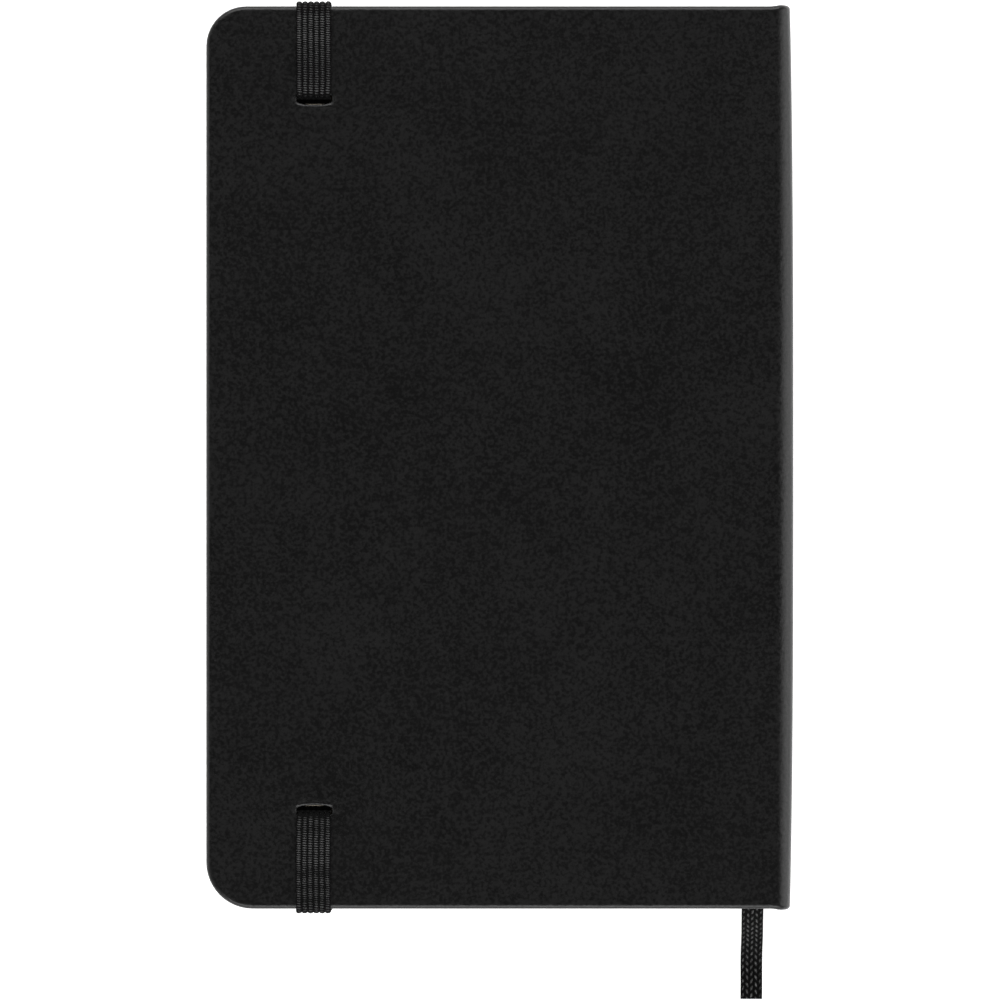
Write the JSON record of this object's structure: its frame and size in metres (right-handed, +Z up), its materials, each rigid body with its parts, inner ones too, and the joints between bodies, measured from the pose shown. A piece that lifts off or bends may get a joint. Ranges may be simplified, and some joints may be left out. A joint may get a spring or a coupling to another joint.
{
  "type": "pocket notebook",
  "caption": "Hardback pocket notebook with a wrapped leatherette case, sewn pages, ribbon bookmark, elastic closure band and expanding inner pocket.",
  "frame": {"origin": "under the middle of the closed book, on the surface that it lies on", "axes": "+Y to the head of the book, +X to the spine, +Z up through the book from the front cover to the back cover"},
  "size_m": [0.0908, 0.1556, 0.0154],
  "materials": {
    "cover_leatherette": "near-black satin leatherette with a fine pebbled grain",
    "greyboard": "raw grey-brown board",
    "endpaper": "smooth ivory endpaper",
    "page_paper": "smooth ivory writing paper, ruled in grey",
    "mull_gauze": "open-weave starched cotton gauze",
    "sewing_thread": "twisted linen thread",
    "gusset_cloth": "black book cloth",
    "elastic_webbing": "ribbed woven elastic, matte black",
    "bookmark_braid": "flat braided black ribbon with a soft sheen"
  },
  "bodies": {
    "front_cover": {"front_cover_skin": "cover_leatherette", "front_board": "greyboard", "front_pastedown": "endpaper", "front_flyleaf": "endpaper", "signature_01": "page_paper", "signature_02": "page_paper", "signature_03": "page_paper", "signature_04": "page_paper", "signature_05": "page_paper", "signature_06": "page_paper", "ribbon_bookmark": "bookmark_braid"},
    "spine": {"spine_skin": "cover_leatherette", "spine_strip": "greyboard", "spine_lining": "endpaper", "mull": "mull_gauze", "sewing_thread": "sewing_thread"},
    "back_cover": {"back_cover_skin": "cover_leatherette", "back_board": "greyboard", "back_pastedown": "endpaper", "elastic_anchor_head": "elastic_webbing", "elastic_anchor_tail": "elastic_webbing"},
    "pages_back": {"signature_07": "page_paper", "signature_08": "page_paper", "signature_09": "page_paper", "signature_10": "page_paper", "signature_11": "page_paper", "signature_12": "page_paper", "back_flyleaf": "endpaper"},
    "pocket": {"pocket_panel": "endpaper", "pocket_gusset_head": "gusset_cloth", "pocket_gusset_tail": "gusset_cloth"},
    "elastic": {"elastic_loop": "elastic_webbing"}
  },
  "joints": [
    {"name": "front_joint", "type": "hinge", "parent": "front_cover", "child": "spine", "pos_m": [0.04486, 0, 0.00124], "axis": [0, 1, 0], "range_deg": [0, 90]},
    {"name": "back_joint", "type": "hinge", "parent": "spine", "child": "back_cover", "pos_m": [0.04486, 0, 0.01416], "axis": [0, 1, 0], "range_deg": [0, 90]},
    {"name": "page_hinge", "type": "hinge", "parent": "spine", "child": "pages_back", "pos_m": [0.04486, 0, 0.01416], "axis": [0, 1, 0], "range_deg": [0, 65]},
    {"name": "pocket_fold", "type": "hinge", "parent": "back_cover", "child": "pocket", "pos_m": [-0.041, 0, 0.01273], "axis": [0, 1, 0], "range_deg": [0, 4.5], "deforming": ["pocket_gusset_head", "pocket_gusset_tail"]},
    {"name": "elastic_release", "type": "hinge", "parent": "back_cover", "child": "elastic", "pos_m": [-0.0288, 0, 0.01505], "axis": [0, 1, 0], "range_deg": [0, 180], "deforming": ["elastic_loop"]}
  ],
  "couplings": [
    {"joint": "back_joint", "follows": "front_joint", "ratio": 1},
    {"joint": "page_hinge", "follows": "front_joint", "ratio": 0.72},
    {"joint": "pocket_fold", "follows": "front_joint", "ratio": 0.0444},
    {"joint": "elastic_release", "follows": "front_joint", "ratio": 2}
  ]
}
